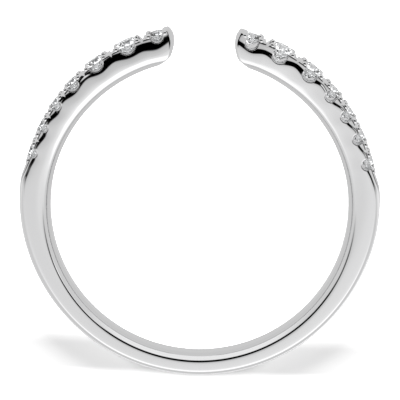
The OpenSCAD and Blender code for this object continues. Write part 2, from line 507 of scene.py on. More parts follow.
    def inset(self, side: Side, angle: float) -> float:
        """Inset of the head's wall behind the band's side, in millimetres."""
        return self.at(angle, "inset") * between(self.insets[side], angle)

    def arm_share(self, angle: float) -> float:
        """How far the shape is the arm's, from 0 in the plain shank to 1."""
        return share_in((self.arm_end - angle) / self.arm_fade)

    def width_share(self, side: Side, angle: float) -> float:
        """Width as a share of the band's, with the domed end of the tip.

        Args:
            side: The arm.
            angle: Degrees from the middle of the gap.

        Returns:
            The share, which drops over the dome and widens slowly behind it.
        """
        end = self.dome_end[side]
        if angle >= end:
            behind = min(1.0, (angle - end) / (self.bow_end - end))
            return blend(self.dome_width, 1, behind**self.widening)
        ahead = (end - angle) / (end - self.tip_angle)
        return self.dome_width - self.dome_fall[0] * ahead - self.dome_fall[1] * ahead**2

    def scallop(self, side: Side, angle: float) -> float:
        """How far the ledge dips there.

        Args:
            side: The arm.
            angle: Degrees from the middle of the gap.

        Returns:
            1 where it is deepest, 0 where it is shallowest, with smooth waves between.
        """
        seats = self.seats[side]
        # A wave is deepest at an even number of half waves and shallowest at an odd one
        marks = [(self.tip_angle, self.tip_phase)]
        for i, seat in enumerate(seats):
            after = seats[i + 1].angle if i + 1 < len(seats) else 2 * self.scallop_end - seat.angle
            deep, shallow = self.slant if i >= self.slanted_from else self.upright
            marks.append((blend(seat.angle, after, deep), 2.0 * i))
            marks.append((blend(seat.angle, after, shallow), 2.0 * i + 1))
        if angle > marks[-1][0]:
            return 0.0
        return (1 + math.cos(math.pi * between(tuple(marks), angle))) / 2

    def ledge_depth(self, side: Side, angle: float) -> float:
        """Depth of the ledge's edge under the metal's top, in millimetres."""
        stone = self.at(angle, "ledge_stone") * self.ledge[side]
        return blend(self.at(angle, "ledge_notch"), stone, self.scallop(side, angle))

    def bore_r(self, angle: float, z: float) -> float:
        """Radius of the inner surface at a height.

        Args:
            angle: Degrees from the middle of the gap.
            z: Height over the middle of the band's width.

        Returns:
            The radius, on the straight bore, its comfort edge or the tip's underside.
        """
        past = max(0.0, z - self.comfort_flat)
        turn = math.radians(self.comfort_turn)
        reach = self.comfort_r * math.sin(turn)
        rounded = min(past, reach)
        comfort = self.comfort_r - math.sqrt(self.comfort_r**2 - rounded**2)
        comfort += (past - rounded) * math.tan(turn)
        return self.finger_r + max(comfort, self.at(angle, "inner"))

    def crown_drop(self, side: Side, angle: float) -> float:
        """Drop of the side face at its inner edge.

        Args:
            side: The arm.
            angle: Degrees from the middle of the gap.

        Returns:
            The drop, in millimetres.
        """
        ahead = share_in((self.crown_whole - angle) / (self.crown_whole - self.tip_angle))
        whole = self.face_crown * max(self.shank_crown, self.arm_share(angle))
        return whole * (1 - (1 - self.tip_crown[side]) * ahead)

    def half_section(self, side: Side, angle: float) -> list[tuple[float, float]]:
        """Half of the section, from the middle of the bore round to the middle of the outer face.

        Args:
            side: The arm.
            angle: Degrees from the middle of the gap.

        Returns:
            Points as (height, radius); the first and last lie at mid-width.
        """
        half_w = self.band_w * self.width_share(side, angle) / 2
        top, arm = self.metal_r(angle), self.arm_share(angle)
        depth = max(self.ledge_depth(side, angle), self.ledge_least)
        ledge = top - depth
        foot = top - depth * (1 - between(self.bevels[side], angle))
        inset, top_round = self.inset(side, angle), self.at(angle, "top_round")
        head = half_w - inset
        edge = blend(self.edge_round[Side.LEFT], self.edge_round[side], arm)
        bevel = Vector((-inset, foot - ledge)).normalized() * edge
        inner = self.bore_r(angle, half_w)
        face, crown = ledge - inner, self.crown_drop(side, angle)
        rim, rim_z = self.rim_round, half_w - crown
        bore_z = rim_z - self.rim_in * rim
        (low_z, low_r), *middle, (ledge_z, _) = (
            (half_w - crown * blend(drop, arm_drop, arm), inner + face * blend(across, arm_across, arm))
            for (across, drop), (arm_across, arm_drop) in zip(self.plain_face, self.face_line[side])
        )
        knee = self.top_knee * top_round
        return [
            *((share * half_w, self.bore_r(angle, share * half_w)) for share in self.bore_shares),
            (bore_z, self.bore_r(angle, bore_z)),
            (rim_z, inner + rim),
            (low_z, rim + low_r),
            *middle,
            (ledge_z, ledge - edge),
            (ledge_z + bevel.x, ledge + bevel.y),
            (head - bevel.x, foot - bevel.y),
            (head, foot + edge),
            (head, top - min(top_round, top - foot - self.edge_room * edge)),
            (head - knee, top - knee),
            (head - top_round, top),
            (self.dome_point[0] * (head - top_round), top + self.dome_point[1] * self.outer_dome),
            (0.0, top + self.outer_dome),
        ]

    def lean(self, angle: float, radius: float) -> float:
        """Extra turn of a point near the tip, which bows the tip's end into the gap, in degrees."""
        fade = max(0.0, (self.bow_end - angle) / (self.bow_end - self.tip_angle))
        return self.tip_bow * ((radius - self.finger_r - self.bow_middle) / self.bow_h) ** 2 * fade

    def on_ring(self, side: Side, angle: float, radius: float) -> Matrix:
        """Place on the ring with +Z pointing outwards and Y along the finger.

        Args:
            side: The arm.
            angle: Degrees from the middle of the gap.
            radius: Distance from the finger axis.

        Returns:
            The matrix from there to the ring.
        """
        turn = Matrix.Rotation(-side.value * math.radians(angle), 4, "Z")
        return turn @ Matrix.Translation((0, radius, 0)) @ Matrix.Rotation(-math.pi / 2, 4, "X")


@dataclass
class Band:
    """All the metal: shank, arms, seats, windows and prongs.

    Lengths are in millimetres, and angles in degrees from the middle of the gap.

    Attributes:
        profile: The band's section.
        arm_start: The arm's first section behind the tip's.
        arm_step: Steps between the arm's sections.
        shank_start: Where the shank's wider steps begin.
        shank_step: Steps between the shank's sections.
        dome_steps: The tip's sections, as shares of its dome.
        dome_edge: How close two more sections lie to the dome's end, on both sides of it.
        end_round: Width of the border round each end face, which keeps its edge crisp.
        cut: Proportions of the stones' seats.
        seat_gap: Clearance round a stone.
        bur_sides: Sides of the seats' cutter.
        bur_girdle: How much thicker its girdle is than a 1 mm stone's.
        bur_table: How much wider its table is than a 1 mm stone's.
        bur_point: Width of its point.
        bead_r: Radius of a prong's bead.
        bead_sides: Segments and rings of a bead.
        bead_turn: Direction of the beads from the stone's middle, off the row.
        bead_out: Distance of a bead's middle from the stone's edge.
        shoulder_along: How far the rounded shoulder behind a bead lies further along the row.
        shoulder_in: How far it lies inside the head's wall.
        shoulder_size: Its size along the row, across and up, over the bead's.
        notch_w: Width of a V-shaped notch at the metal's top.
        notch_depth: Depth of a notch under that top.
        over: How far cutters reach out of the metal.
        window_sides: Sides of the windows' cutter.
        flare: Depth of the rounded rim at each end of a window.
        flare_steps: The rim's steps along the finger and outwards, over that depth. The last one
            runs straight out of the metal.
        deep_from: Depth over the ledge's from which a window cuts into the side face.
        deep_rim: Share of the inset that such a window's rim keeps.
        smooth: The largest angle that is shaded smooth.
    """

    profile: Profile
    arm_start: float = 12.5
    arm_step: float = 1.5
    shank_start: float = 84.0
    shank_step: float = 4.0
    dome_steps: tuple[float, ...] = (0.0, 0.12, 0.35, 0.64)
    dome_edge: float = 0.05
    end_round: float = 0.02
    cut: Cut = Cut()
    seat_gap: float = 0.02
    bur_sides: int = 48
    bur_girdle: float = 0.02
    bur_table: float = 0.03
    bur_point: float = 0.02
    bead_r: float = 0.155
    bead_sides: tuple[int, int] = (20, 12)
    bead_turn: float = 48.0
    bead_out: float = 0.07
    shoulder_along: float = 0.06
    shoulder_in: float = 0.16
    shoulder_size: tuple[float, float, float] = (1.2, 1.0, 0.95)
    notch_w: float = 0.24
    notch_depth: float = 0.2
    over: float = 1.0
    window_sides: int = 40
    flare: float = 0.075
    flare_steps: Pairs = ((0.38, 0.08), (0.33, 0.22), (0.20, 0.30), (0.09, 0.40), (14.0, 0.0))
    deep_from: float = 0.9
    deep_rim: float = 0.3
    smooth: float = 32.0

    def stations(self) -> list[tuple[Side, float]]:
        """Sections from the right tip through the bottom to the left tip."""
        halves = {}
        bottom = self.profile.bottom
        for side in Side:
            tip, dome = self.profile.tip_angle, self.profile.dome_end[side]
            half = [blend(tip, dome, share) for share in self.dome_steps]
            half += [dome - self.dome_edge, dome + self.dome_edge]
            angle = self.arm_start
            while angle < bottom - self.shank_step / 2:
                half.append(angle)
                angle += self.arm_step if angle < self.shank_start else self.shank_step
            halves[side] = [(side, angle) for angle in half]
        return halves[Side.RIGHT] + [(Side.RIGHT, bottom)] + halves[Side.LEFT][::-1]

    def shape_section(self, bm: bmesh.types.BMesh, loop: list[int], side: Side, angle: float) -> None:
        """Moves one loop's vertices to the section at an angle, a pair at a time.

        Args:
            bm: The edit mesh.
            loop: The loop's vertex numbers, from the middle of the bore up and round.
            side: The arm.
            angle: Degrees from the middle of the gap.
        """
        verts = [bm.verts[i] for i in loop]
        for i, (z, r) in enumerate(self.profile.half_section(side, angle)):
            pair = [verts[i], verts[-i]]
            turn = math.radians(angle + self.profile.lean(angle, r))
            shift = Vector((side.value * r * math.sin(turn), r * math.cos(turn), 0)) - pair[0].co
            select_verts(bm, pair)
            bpy.ops.transform.translate(value=(shift.x, shift.y, 0))
            if z:
                bpy.ops.transform.resize(value=(1, 1, z / abs(pair[0].co.z)), center_override=ORIGIN)

    def extrude(self, obj: bpy.types.Object, loop: list[int]) -> list[int]:
        """Extrudes the end of the blank and finds its new vertices.

        Args:
            obj: The blank, in edit mode.
            loop: The end loop's vertex numbers.

        Returns:
            The new end's vertex numbers in the same order.
        """
        bm = bmesh.from_edit_mesh(obj.data)
        bm.verts.ensure_lookup_table()
        select_verts(bm, [bm.verts[i] for i in loop])
        bpy.ops.mesh.extrude_region_move()
        bm = bmesh.from_edit_mesh(obj.data)
        bm.verts.ensure_lookup_table()
        bm.verts.index_update()
        follow = {}
        for vert in (v for v in bm.verts if v.select):
            for edge in vert.link_edges:
                other = edge.other_vert(vert)
                if not other.select:
                    follow[other.index] = vert.index
        return [follow[i] for i in loop]

    def blank(self) -> bpy.types.Object:
        """Extrudes the section from tip to tip and smooths it.

        Returns:
            The metal before anything is cut.
        """
        profile = self.profile
        lines = 2 * (len(profile.half_section(Side.RIGHT, profile.bottom)) - 1)
        bpy.ops.mesh.primitive_circle_add(vertices=lines, radius=1.0, fill_type="NGON")
        obj = new_piece("polished_band")
        bpy.ops.object.mode_set(mode="EDIT")
        bpy.ops.mesh.select_mode(type="VERT")
        bpy.ops.mesh.select_all(action="SELECT")
        # Stands the circle up in the plane of the radius and the finger
        bpy.ops.transform.rotate(value=math.pi / 2, orient_axis="Y", center_override=ORIGIN)
        loop = list(range(lines))
        for number, (side, angle) in enumerate(self.stations()):
            if number:
                loop = self.extrude(obj, loop)
            bm = bmesh.from_edit_mesh(obj.data)
            bm.verts.ensure_lookup_table()
            self.shape_section(bm, loop, side, angle)
        bm = bmesh.from_edit_mesh(obj.data)
        for face in bm.faces:
            face.select = len(face.verts) == lines
        bm.select_flush(True)
        bpy.ops.mesh.inset(thickness=self.end_round)
        bpy.ops.mesh.select_all(action="SELECT")
        bpy.ops.mesh.normals_make_consistent(inside=False)
        bpy.ops.object.mode_set(mode="OBJECT")
        use_modifier(obj, "SUBSURF", levels=1, render_levels=1)
        return obj

    def bur(self) -> bpy.types.Object:
        """Models the cutter of a stone's seat, for a stone of 1 mm.

        Returns:
            A brilliant's outline with a straight shaft over its table.
        """
        cut = self.cut
        girdle, table, point = cut.girdle + self.bur_girdle, cut.table + self.bur_table, self.bur_point
        bpy.ops.mesh.primitive_cylinder_add(vertices=self.bur_sides, radius=0.5, depth=girdle)
        obj = new_piece("bur")
        bpy.ops.object.mode_set(mode="EDIT")
        bpy.ops.mesh.select_mode(type="VERT")
        bm = bmesh.from_edit_mesh(obj.data)
        select_verts(bm, [v for v in bm.verts if v.co.z < 0])
        bpy.ops.mesh.extrude_region_move(TRANSFORM_OT_translate={"value": (0, 0, -cut.pavilion)})
        bpy.ops.transform.resize(value=(point, point, 1), center_override=(0, 0, -cut.pavilion))
        bm = bmesh.from_edit_mesh(obj.data)
        select_verts(bm, [v for v in bm.verts if v.co.z > 0])
        bpy.ops.mesh.extrude_region_move(TRANSFORM_OT_translate={"value": (0, 0, cut.crown)})
        bpy.ops.transform.resize(value=(table, table, 1), center_override=(0, 0, girdle / 2 + cut.crown))
        bpy.ops.mesh.extrude_region_move(TRANSFORM_OT_translate={"value": (0, 0, self.over)})
        bpy.ops.object.mode_set(mode="OBJECT")
        return obj

    def seats(self) -> bpy.types.Object:
        """Copies the bur to every stone.

        Returns:
            All the seats' cutters in one object.
        """
        bur = self.bur()
        tools = []
        for seat in self.profile.all_seats():
            wide = seat.diameter + 2 * self.seat_gap
            place = self.profile.on_ring(seat.side, seat.angle, seat.radius)
            tools.append(copy_of(bur, f"{seat.node}_seat", place @ Matrix.Diagonal((wide, wide, wide, 1))))
        bpy.data.objects.remove(bur)
        return joined(tools, "seats")

    def prongs(self) -> tuple[bpy.types.Object, bpy.types.Object]:
        """Models a bead and copies it, with a rounded shoulder, to the four prongs of each stone.

        Returns:
            All the beads in one object and all the shoulders in another.
        """
        segments, rings = self.bead_sides
        bpy.ops.mesh.primitive_uv_sphere_add(segments=segments, ring_count=rings, radius=self.bead_r)
        bead = new_piece("bead")
        turn = math.radians(self.bead_turn)
        stretch = Matrix.Diagonal((*self.shoulder_size, 1))
        beads, shoulders = [], []
        for seat in self.profile.all_seats():
            reach = seat.diameter / 2 + self.bead_out
            bead_x, bead_y = reach * math.cos(turn), reach * math.sin(turn)
            head = self.profile.band_w / 2 - self.profile.inset(seat.side, seat.angle)
            shoulder_x, shoulder_y = bead_x + self.shoulder_along, head - self.shoulder_in
            place = self.profile.on_ring(seat.side, seat.angle, self.profile.metal_r(seat.angle))
            for along, across in product((-1, 1), repeat=2):
                spot = Matrix.Translation((along * bead_x, across * bead_y, 0))
                beads.append(copy_of(bead, f"{seat.node}_bead", place @ spot))
                spot = Matrix.Translation((along * shoulder_x, across * shoulder_y, 0))
                shoulders.append(copy_of(bead, f"{seat.node}_shoulder", place @ spot @ stretch))
        bpy.data.objects.remove(bead)
        return joined(beads, "beads"), joined(shoulders, "shoulders")

    def window(self, seat: StoneSeat) -> bpy.types.Object:
        """Models the U-shaped cutter under one stone, which flares at both rims.

        Args:
            seat: The stone over the window.

        Returns:
            The cutter, in place.
        """
        profile = self.profile
        half_w = profile.band_w * profile.width_share(seat.side, seat.angle) / 2
        deep = seat.window_depth > self.deep_from * profile.ledge_depth(seat.side, seat.angle)
        rim = half_w - profile.inset(seat.side, seat.angle) * (self.deep_rim if deep else 1)
        straight = rim - self.flare
        radius = seat.window_w / 2
        level = radius - seat.window_depth
        bpy.ops.mesh.primitive_cylinder_add(
            vertices=self.window_sides, radius=radius, depth=2 * straight,
            rotation=(math.pi / 2, 0, 0), location=(0, 0, level),
        )
        obj = new_piece(f"{seat.node}_window")
        bpy.ops.object.mode_set(mode="EDIT")
        bpy.ops.mesh.select_mode(type="VERT")
        for end in (-1, 1):
            bm = bmesh.from_edit_mesh(obj.data)
            select_verts(bm, [v for v in bm.verts if v.co.y * end > straight - NEAR])
            for ahead, wider in self.flare_steps:
                move = (0, end * ahead * self.flare, 0)
                grow = (radius + wider * self.flare) / radius
                bpy.ops.mesh.extrude_region_move(TRANSFORM_OT_translate={"value": move})
                bpy.ops.transform.resize(value=(grow, 1, grow), center_override=(0, 0, level))
        # Opens the U upwards
        bm = bmesh.from_edit_mesh(obj.data)
        select_verts(bm, [v for v in bm.verts if v.co.z > level + NEAR])
        bpy.ops.transform.resize(value=(1, 1, 0), center_override=(0, 0, level + self.over))
        bpy.ops.object.mode_set(mode="OBJECT")
        obj.data.transform(profile.on_ring(seat.side, seat.angle, profile.metal_r(seat.angle)))
        return obj

    def notch(self) -> bpy.types.Object:
        """Models the V-shaped cutter that splits two prongs.

        Returns:
            The cutter, its edge down along the finger.
        """
        size = (2 * self.notch_w, 2 * self.over + 1, 2 * self.notch_depth)
        bpy.ops.mesh.primitive_cube_add(size=1, scale=size)
        obj = new_piece("notch")
        bpy.ops.object.mode_set(mode="EDIT")
        bpy.ops.mesh.select_mode(type="VERT")
        bm = bmesh.from_edit_mesh(obj.data)
        select_verts(bm, [v for v in bm.verts if v.co.z < 0])
        bpy.ops.transform.resize(value=(0, 1, 1), center_override=ORIGIN)
        bpy.ops.mesh.select_all(action="SELECT")
        bpy.ops.mesh.remove_doubles(threshold=NEAR)
        bpy.ops.object.mode_set(mode="OBJECT")
        return obj

    def gaps(self) -> bpy.types.Object:
        """Places the windows and the notches between the stones.

        Returns:
            All their cutters in one object.
        """
        notch = self.notch()
        tools = []
        for side in Side:
            seats = self.profile.seats[side]
            tools += [self.window(seat) for seat in seats]
            for here, after in zip(seats, seats[1:]):
                angle = (here.angle + after.angle) / 2
                place = self.profile.on_ring(side, angle, self.profile.metal_r(angle))
                tools.append(copy_of(notch, f"{here.node}_notch", place))
        bpy.data.objects.remove(notch)
        return joined(tools, "gaps")

    def build(self, material: bpy.types.Material) -> bpy.types.Object:
        """Builds the metal and dresses it.

        Args:
            material: The polished metal.

        Returns:
            The finished band.
        """
        obj = self.blank()
        log.info("blank: %d faces", len(obj.data.polygons))
        for tool in self.prongs():
            combine(obj, tool, "UNION")
        combine(obj, self.seats(), "DIFFERENCE")
        combine(obj, self.gaps(), "DIFFERENCE")
        finish_piece(obj, material, self.smooth)
        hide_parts("band")
        return obj


@dataclass
class Brilliants:
    """The round brilliants, cut once at 1 mm and copied into their seats.

    Attributes:
        profile: The band's section, which holds the stones' places.
        cut: The stones' proportions.
        mains: The number of main facets.
        girdle_r: Radius of the stone as it is cut.
        girdle_step: Distance along the girdle to a second point of a main facet's plane.
        rough_sides: Sides of the rough cylinder.
        rough_over: How much higher the cylinder is than the stone.
        star_slope: Slope from the table to a star facet's tip, over the main facets'.
        level: The largest angle between faces that become one facet, in degrees.
    """

    profile: Profile
    cut: Cut = Cut()
    mains: int = 8
    girdle_r: float = 0.5
    girdle_step: float = 0.1
    rough_sides: int = 64
    rough_over: float = 0.02
    star_slope: float = 0.95
    level: float = 0.2

    def at(self, azimuth: float, radius: float, height: float) -> Vector:
        """Point at an azimuth that is counted in halves of a main facet's turn."""
        turn = azimuth * (math.pi / self.mains)
        return Vector((radius * math.cos(turn), radius * math.sin(turn), height))

    def facet(self, points: tuple[Vector, Vector, Vector]) -> None:
        """Cuts one facet off the stone in edit mode and closes it.

        Args:
            points: Three points of the facet's plane, in any order.
        """
        a, b, c = points
        normal = (b - a).cross(c - a).normalized()
        if normal.dot(a) < 0:
            normal.negate()
        bpy.ops.mesh.select_all(action="SELECT")
        bpy.ops.mesh.bisect(
            plane_co=a, plane_no=normal, use_fill=True, clear_outer=True, threshold=FACET_NEAR,
        )

    def tier(self, *points: Vector) -> None:
        """Cuts one facet all round the stone.

        Args:
            points: Three points of the first facet's plane.
        """
        for i in range(self.mains):
            turn = Matrix.Rotation(math.radians(360 * i / self.mains), 3, "Z")
            self.facet(tuple(turn @ point for point in points))

    def main_tier(self, height: float, meet: Vector) -> None:
        """Cuts the main facets of the crown or the pavilion.

        Args:
            height: Height of the girdle's edge.
            meet: A point of the first facet away from the girdle.
        """
        edge = self.at(0, self.girdle_r, height)
        self.tier(edge, meet, edge + Vector((0, self.girdle_step, 0)))

    def half_tiers(self, height: float, meet: Vector) -> None:
        """Cuts the two facets beside each main facet, along the girdle.

        Args:
            height: Height of the girdle's edge.
            meet: The point where the first two of them meet.
        """
        for turned in (0, 1):
            start, end = (self.at(azimuth, self.girdle_r, height) for azimuth in (turned, turned + 1))
            self.tier(start, end, meet)

    def master(self) -> bpy.types.Object:
        """Cuts a brilliant of 1 mm out of a rough cylinder.

        Returns:
            The stone, its girdle at height 0 and its table up.
        """
        cut = self.cut
        girdle = cut.girdle / 2
        top, low = girdle + cut.crown, -girdle - cut.pavilion
        bpy.ops.mesh.primitive_cylinder_add(
            vertices=self.rough_sides, radius=self.girdle_r, depth=top - low + self.rough_over,
            location=(0, 0, (top + low) / 2),
        )
        obj = new_piece("brilliant")
        bpy.ops.object.mode_set(mode="EDIT")
        bpy.ops.mesh.select_mode(type="VERT")
        table_r = cut.table / 2
        # The table's sides lie nearer to the axis than its corners, by this factor
        inward = math.cos(math.pi / self.mains)
        edge_r = table_r * inward
        star_r = blend(edge_r, self.girdle_r * inward, cut.star)
        slope = cut.crown / (self.girdle_r - table_r)
        tip = self.at(1, star_r, top - slope * (star_r - edge_r) * self.star_slope)
        # The table, then the crown's main, star and upper facets
        corners = tuple(self.at(azimuth, table_r, top) for azimuth in (0, 2, 4))
        self.facet(corners)
        self.main_tier(girdle, corners[0])
        self.tier(corners[0], corners[1], tip)
        self.half_tiers(girdle, tip)
        # The pavilion's main and lower facets
        self.main_tier(-girdle, self.at(0, 0, low))
        meet_r = self.girdle_r * (1 - cut.lower)
        self.half_tiers(-girdle, self.at(1, meet_r, low + cut.pavilion * meet_r * inward / self.girdle_r))
        bpy.ops.mesh.select_all(action="SELECT")
        bpy.ops.mesh.remove_doubles(threshold=FACET_NEAR)
        bpy.ops.mesh.dissolve_limited(angle_limit=math.radians(self.level))
        bpy.ops.mesh.normals_make_consistent(inside=False)
        bpy.ops.object.mode_set(mode="OBJECT")
        return obj

    def build(self, material: bpy.types.Material) -> None:
        """Copies the stone into every seat and dresses it.

        Args:
            material: The cut diamond.
        """
        master = self.master()
        for seat in self.profile.all_seats():
            place = self.profile.on_ring(seat.side, seat.angle, seat.radius)
            size = Matrix.Diagonal((seat.diameter, seat.diameter, seat.diameter, 1))
            stone = copy_of(master, f"{seat.node}_brilliant", place @ size)
            finish_piece(stone, material, smooth=0)
            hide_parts(seat.node)
        bpy.data.objects.remove(master)


@dataclass(frozen=True)
class Wiring:
    """A node tree, with short calls that add its nodes and wire them.

    Attributes:
        tree: The node tree.
    """

    tree: bpy.types.NodeTree

    def add(self, kind: str) -> bpy.types.Node:
        """Adds a node."""
        return self.tree.nodes.new(kind)

    def feed(self, socket: Socket, value: NodeValue) -> None:
        """Wires a node's output to an input, or sets the input to a number.

        Args:
            socket: The input.
            value: The output or the number.
        """
        if isinstance(value, Socket):
            self.tree.links.new(value, socket)
        else:
            socket.default_value = value

    def calc(self, kind: str, a: NodeValue, b: NodeValue = 0.0) -> Socket:
        """Adds a Math node.

        Args:
            kind: Its operation.
            a: Its first value.
            b: Its second value.

        Returns:
            The result.
        """
        node = self.add("ShaderNodeMath")
        node.operation = kind
        self.feed(node.inputs[0], a)
        self.feed(node.inputs[1], b)
        return node.outputs["Value"]

    def times(self, a: NodeValue, b: NodeValue) -> Socket:
        """Multiplies two values."""
        return self.calc("MULTIPLY", a, b)

    def plus(self, a: NodeValue, b: NodeValue) -> Socket:
        """Adds two values."""
        return self.calc("ADD", a, b)

    def minus(self, a: NodeValue, b: NodeValue) -> Socket:
        """Takes the second value from the first."""
        return self.calc("SUBTRACT", a, b)

    def blend(self, start: NodeValue, end: NodeValue, share: NodeValue) -> Socket:
        """Goes from one value to another by a share of the way."""
        return self.plus(self.times(start, self.minus(1.0, share)), self.times(share, end))

    def step(self, value: NodeValue, start: float, end: float) -> Socket:
        """Adds a soft step.

        Args:
            value: What it reads.
            start: Where it is 0.
            end: Where it is 1.

        Returns:
            The result, from 0 to 1.
        """
        node = self.add("ShaderNodeMapRange")
        node.interpolation_type = "SMOOTHSTEP"
        node.inputs["From Min"].default_value = start
        node.inputs["From Max"].default_value = end
        self.feed(node.inputs["Value"], value)
        return node.outputs["Result"]

    def axes(self, vector: Socket) -> tuple[Socket, Socket]:
        """Takes X and Y out of a vector."""
        node = self.add("ShaderNodeSeparateXYZ")
        self.feed(node.inputs["Vector"], vector)
        return node.outputs["X"], node.outputs["Y"]


def surface(name: str) -> tuple[bpy.types.Material, bpy.types.Node]:
    """Starts a material.

    Args:
        name: The material's name.

    Returns:
        The material and its Principled BSDF.
    """
    material = bpy.data.materials.new(name)
    material.use_nodes = True
    return material, material.node_tree.nodes["Principled BSDF"]


@dataclass(frozen=True)
class PolishedMetal:
    """Rhodium-bright white gold with the faint unevenness of hand polishing.

    Attributes:
        colour: Its colour.
        roughness: Its least and greatest roughness.
        haze_scale: Cycles of the polishing's unevenness per metre.
        haze_detail: Finer layers of that unevenness.
        haze_range: Values of its noise that give the least and greatest roughness.
        edge_r: Radius, in millimetres, over which edges catch the light.
        edge_samples: Rays with which those edges are found.
    """

    colour: tuple[float, float, float, float] = (0.845, 0.845, 0.85, 1)
    roughness: tuple[float, float] = (0.05, 0.10)
    haze_scale: float = 450.0
    haze_detail: float = 3.0
    haze_range: tuple[float, float] = (0.3, 0.7)
    edge_r: float = 0.015
    edge_samples: int = 8

    def build(self) -> bpy.types.Material:
        """Makes the material."""
        material, shader = surface("white_gold_polish")
        wiring = Wiring(material.node_tree)
        shader.inputs["Base Color"].default_value = self.colour
        shader.inputs["Metallic"].default_value = 1
        haze = wiring.add("ShaderNodeTexNoise")
        haze.inputs["Scale"].default_value = self.haze_scale
        haze.inputs["Detail"].default_value = self.haze_detail
        wiring.feed(haze.inputs["Vector"], wiring.add("ShaderNodeTexCoord").outputs["Object"])
        spread = wiring.add("ShaderNodeMapRange")
        limits = (*self.haze_range, *self.roughness)
        for name, limit in zip(("From Min", "From Max", "To Min", "To Max"), limits):
            spread.inputs[name].default_value = limit
        wiring.feed(spread.inputs["Value"], haze.outputs["Fac"])
        wiring.feed(shader.inputs["Roughness"], spread.outputs["Result"])
        rounding = wiring.add("ShaderNodeBevel")
        rounding.samples = self.edge_samples
        rounding.inputs["Radius"].default_value = self.edge_r * MM
        wiring.feed(shader.inputs["Normal"], rounding.outputs["Normal"])
        return material


@dataclass(frozen=True)
class CutDiamond:
    """Clear cut diamond.

    Attributes:
        colour: Its tint.
        index: Its refractive index.
    """

    colour: tuple[float, float, float, float] = (0.98, 0.99, 1, 1)
    index: float = 2.417

    def build(self) -> bpy.types.Material:
        """Makes the material."""
        material, shader = surface("cut_diamond")
        shader.inputs["Base Color"].default_value = self.colour
        shader.inputs["Transmission Weight"].default_value = 1
        shader.inputs["Roughness"].default_value = 0
        shader.inputs["IOR"].default_value = self.index
        return material


